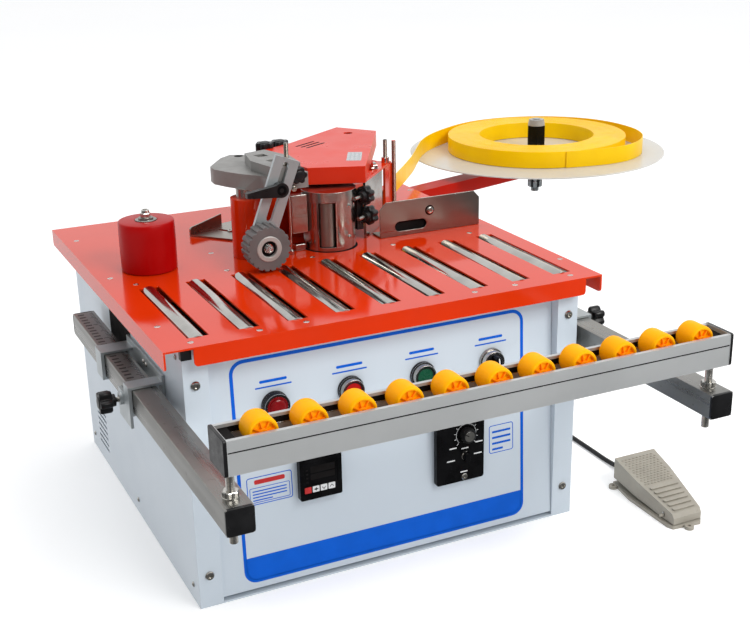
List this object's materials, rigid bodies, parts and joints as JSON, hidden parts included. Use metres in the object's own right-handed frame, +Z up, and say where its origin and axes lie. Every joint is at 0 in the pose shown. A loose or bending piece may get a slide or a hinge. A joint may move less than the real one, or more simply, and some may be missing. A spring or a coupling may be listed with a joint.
{
  "type": "edge banding machine",
  "caption": "Table-top edge banding machine with roller table, glue and press rollers, tape disc on an arm, roller support rail, front controls and foot pedal.",
  "frame": {"origin": "centre of the cabinet footprint, on the standing surface", "axes": "+X to the operator's right, +Y to the back, +Z up"},
  "size_m": [0.99, 0.9328, 0.433],
  "materials": {
    "paint_white": "satin",
    "paint_red": "gloss",
    "cover_red": "satin",
    "chrome": "polished",
    "orange_plastic": "gloss",
    "aluminium": "satin",
    "steel": "brushed",
    "zinc": "satin",
    "black_plastic": "satin",
    "cast_grey": "matte",
    "rubber_grey": "matte",
    "red_polyurethane": "satin",
    "white_disc": "gloss",
    "yellow_tape": "satin",
    "red_lens": "gloss",
    "green_plastic": "gloss",
    "beige_plastic": "matte",
    "black_cord": "satin"
  },
  "bodies": {
    "machine": {"cabinet_body": "paint_white", "front_panel": "paint_white", "table_top": "paint_red", "edge_fence": "steel", "corner_guide": "steel", "head_frame": "paint_red", "head_cover": "cover_red", "roller_housing": "steel", "tape_guide": "paint_red", "tape_arm": "paint_red", "tape_spindle": "black_plastic", "tape_lead": "yellow_tape", "arm_bracket_left": "zinc", "arm_bracket_right": "zinc", "temperature_controller": "black_plastic", "speed_controller": "black_plastic", "power_lamp": "red_lens", "pedal_base": "beige_plastic", "pedal_cord": "black_cord"},
    "support": {"support_arm_left": "steel", "support_arm_right": "steel"},
    "rail": {"roller_rail": "aluminium", "height_stud_left": "chrome", "height_stud_right": "chrome"},
    "swing_arm": {"cast_arm": "cast_grey"},
    "lever": {"wheel_lever": "zinc"},
    "wheel": {"press_wheel": "rubber_grey"},
    "clamp_handle": {"clamp_lever": "black_plastic"},
    "star_knob": {"lever_knob": "black_plastic"},
    "glue_roller": {"glue_roller": "chrome"},
    "pressure_roller": {"pressure_roller": "red_polyurethane"},
    "tape_supply": {"tape_disc": "white_disc", "tape_roll": "yellow_tape"},
    "knob_left": {"clamp_knob_left": "black_plastic"},
    "knob_right": {"clamp_knob_right": "black_plastic"},
    "power_button": {"power_button": "red_lens"},
    "start_button": {"start_button": "green_plastic"},
    "mode_switch": {"mode_switch": "black_plastic"},
    "speed_dial": {"speed_dial": "black_plastic"},
    "pedal": {"pedal_tread": "beige_plastic"},
    "table_roller_1": {"table_roller_1": "chrome"},
    "table_roller_2": {"table_roller_2": "chrome"},
    "table_roller_3": {"table_roller_3": "chrome"},
    "table_roller_4": {"table_roller_4": "chrome"},
    "table_roller_5": {"table_roller_5": "chrome"},
    "table_roller_6": {"table_roller_6": "chrome"},
    "table_roller_7": {"table_roller_7": "chrome"},
    "table_roller_8": {"table_roller_8": "chrome"},
    "table_roller_9": {"table_roller_9": "chrome"},
    "rail_roller_1": {"rail_roller_1": "orange_plastic"},
    "rail_roller_2": {"rail_roller_2": "orange_plastic"},
    "rail_roller_3": {"rail_roller_3": "orange_plastic"},
    "rail_roller_4": {"rail_roller_4": "orange_plastic"},
    "rail_roller_5": {"rail_roller_5": "orange_plastic"},
    "rail_roller_6": {"rail_roller_6": "orange_plastic"},
    "rail_roller_7": {"rail_roller_7": "orange_plastic"},
    "rail_roller_8": {"rail_roller_8": "orange_plastic"},
    "rail_roller_9": {"rail_roller_9": "orange_plastic"},
    "rail_roller_10": {"rail_roller_10": "orange_plastic"},
    "rail_roller_11": {"rail_roller_11": "orange_plastic"}
  },
  "joints": [
    {"name": "table_roller_1_spin", "type": "hinge", "parent": "machine", "child": "table_roller_1", "pos_m": [-0.2065, -0.1315, 0.287], "axis": [0, 1, 0], "continuous": true},
    {"name": "table_roller_2_spin", "type": "hinge", "parent": "machine", "child": "table_roller_2", "pos_m": [-0.1538, -0.1315, 0.287], "axis": [0, 1, 0], "continuous": true},
    {"name": "table_roller_3_spin", "type": "hinge", "parent": "machine", "child": "table_roller_3", "pos_m": [-0.1011, -0.1315, 0.287], "axis": [0, 1, 0], "continuous": true},
    {"name": "table_roller_4_spin", "type": "hinge", "parent": "machine", "child": "table_roller_4", "pos_m": [-0.0484, -0.1315, 0.287], "axis": [0, 1, 0], "continuous": true},
    {"name": "table_roller_5_spin", "type": "hinge", "parent": "machine", "child": "table_roller_5", "pos_m": [0.0043, -0.1315, 0.287], "axis": [0, 1, 0], "continuous": true},
    {"name": "table_roller_6_spin", "type": "hinge", "parent": "machine", "child": "table_roller_6", "pos_m": [0.057, -0.1315, 0.287], "axis": [0, 1, 0], "continuous": true},
    {"name": "table_roller_7_spin", "type": "hinge", "parent": "machine", "child": "table_roller_7", "pos_m": [0.1097, -0.1315, 0.287], "axis": [0, 1, 0], "continuous": true},
    {"name": "table_roller_8_spin", "type": "hinge", "parent": "machine", "child": "table_roller_8", "pos_m": [0.1624, -0.1315, 0.287], "axis": [0, 1, 0], "continuous": true},
    {"name": "table_roller_9_spin", "type": "hinge", "parent": "machine", "child": "table_roller_9", "pos_m": [0.2151, -0.1315, 0.287], "axis": [0, 1, 0], "continuous": true},
    {"name": "support_slide", "type": "slide", "parent": "machine", "child": "support", "axis": [0, -1, 0], "range_m": [-0.12, 0.12]},
    {"name": "rail_height", "type": "slide", "parent": "support", "child": "rail", "axis": [0, 0, 1], "range_m": [-0.012, 0.02]},
    {"name": "rail_roller_1_spin", "type": "hinge", "parent": "rail", "child": "rail_roller_1", "pos_m": [-0.223, -0.428, 0.2865], "axis": [0, 1, 0], "continuous": true},
    {"name": "rail_roller_2_spin", "type": "hinge", "parent": "rail", "child": "rail_roller_2", "pos_m": [-0.1778, -0.428, 0.2865], "axis": [0, 1, 0], "continuous": true},
    {"name": "rail_roller_3_spin", "type": "hinge", "parent": "rail", "child": "rail_roller_3", "pos_m": [-0.1326, -0.428, 0.2865], "axis": [0, 1, 0], "continuous": true},
    {"name": "rail_roller_4_spin", "type": "hinge", "parent": "rail", "child": "rail_roller_4", "pos_m": [-0.0874, -0.428, 0.2865], "axis": [0, 1, 0], "continuous": true},
    {"name": "rail_roller_5_spin", "type": "hinge", "parent": "rail", "child": "rail_roller_5", "pos_m": [-0.0422, -0.428, 0.2865], "axis": [0, 1, 0], "continuous": true},
    {"name": "rail_roller_6_spin", "type": "hinge", "parent": "rail", "child": "rail_roller_6", "pos_m": [0.003, -0.428, 0.2865], "axis": [0, 1, 0], "continuous": true},
    {"name": "rail_roller_7_spin", "type": "hinge", "parent": "rail", "child": "rail_roller_7", "pos_m": [0.0482, -0.428, 0.2865], "axis": [0, 1, 0], "continuous": true},
    {"name": "rail_roller_8_spin", "type": "hinge", "parent": "rail", "child": "rail_roller_8", "pos_m": [0.0934, -0.428, 0.2865], "axis": [0, 1, 0], "continuous": true},
    {"name": "rail_roller_9_spin", "type": "hinge", "parent": "rail", "child": "rail_roller_9", "pos_m": [0.1386, -0.428, 0.2865], "axis": [0, 1, 0], "continuous": true},
    {"name": "rail_roller_10_spin", "type": "hinge", "parent": "rail", "child": "rail_roller_10", "pos_m": [0.1838, -0.428, 0.2865], "axis": [0, 1, 0], "continuous": true},
    {"name": "rail_roller_11_spin", "type": "hinge", "parent": "rail", "child": "rail_roller_11", "pos_m": [0.229, -0.428, 0.2865], "axis": [0, 1, 0], "continuous": true},
    {"name": "knob_left_turn", "type": "hinge", "parent": "machine", "child": "knob_left", "pos_m": [-0.285, -0.134, 0.211], "axis": [1, 0, 0], "continuous": true},
    {"name": "knob_right_turn", "type": "hinge", "parent": "machine", "child": "knob_right", "pos_m": [0.285, -0.186, 0.223], "axis": [1, 0, 0], "continuous": true},
    {"name": "arm_swing", "type": "hinge", "parent": "machine", "child": "swing_arm", "pos_m": [-0.067, 0.017, 0.35], "axis": [0, 0, 1], "range_deg": [-12, 10]},
    {"name": "wheel_height", "type": "slide", "parent": "swing_arm", "child": "lever", "axis": [0.3633, 0, 0.9317], "range_m": [0, 0.028]},
    {"name": "wheel_spin", "type": "hinge", "parent": "lever", "child": "wheel", "pos_m": [-0.07, -0.05, 0.3235], "axis": [0, 1, 0], "continuous": true},
    {"name": "clamp_turn", "type": "hinge", "parent": "swing_arm", "child": "clamp_handle", "pos_m": [-0.046, -0.042, 0.3843], "axis": [0, 1, 0], "range_deg": [-20, 80]},
    {"name": "star_knob_turn", "type": "hinge", "parent": "swing_arm", "child": "star_knob", "pos_m": [-0.0175, -0.025, 0.3945], "axis": [0, 1, 0], "continuous": true},
    {"name": "glue_roller_spin", "type": "hinge", "parent": "machine", "child": "glue_roller", "pos_m": [0.024, -0.007, 0.33], "axis": [0, 0, 1], "continuous": true},
    {"name": "pressure_roller_spin", "type": "hinge", "parent": "machine", "child": "pressure_roller", "pos_m": [-0.185, 0.025, 0.325], "axis": [0, 0, 1], "continuous": true},
    {"name": "tape_disc_spin", "type": "hinge", "parent": "machine", "child": "tape_supply", "pos_m": [0.5035, 0.289, 0.309], "axis": [0, 0, 1], "continuous": true},
    {"name": "power_button_press", "type": "slide", "parent": "machine", "child": "power_button", "axis": [0, 1, 0], "range_m": [0, 0.003], "stiffness_N_per_m": 300, "springref_m": -0.002},
    {"name": "start_button_press", "type": "slide", "parent": "machine", "child": "start_button", "axis": [0, 1, 0], "range_m": [0, 0.003], "stiffness_N_per_m": 300, "springref_m": -0.002},
    {"name": "mode_switch_turn", "type": "hinge", "parent": "machine", "child": "mode_switch", "pos_m": [0.1236, -0.225, 0.209], "axis": [0, 1, 0], "range_deg": [-45, 45]},
    {"name": "speed_dial_turn", "type": "hinge", "parent": "machine", "child": "speed_dial", "pos_m": [0.086, -0.235, 0.133], "axis": [0, 1, 0], "range_deg": [-140, 140]},
    {"name": "pedal_press", "type": "hinge", "parent": "machine", "child": "pedal", "pos_m": [0.343, -0.303, 0.0095], "axis": [-1, 0, 0], "range_deg": [0, 3], "stiffness_Nm_per_rad": 4, "springref_deg": -6.88}
  ]
}
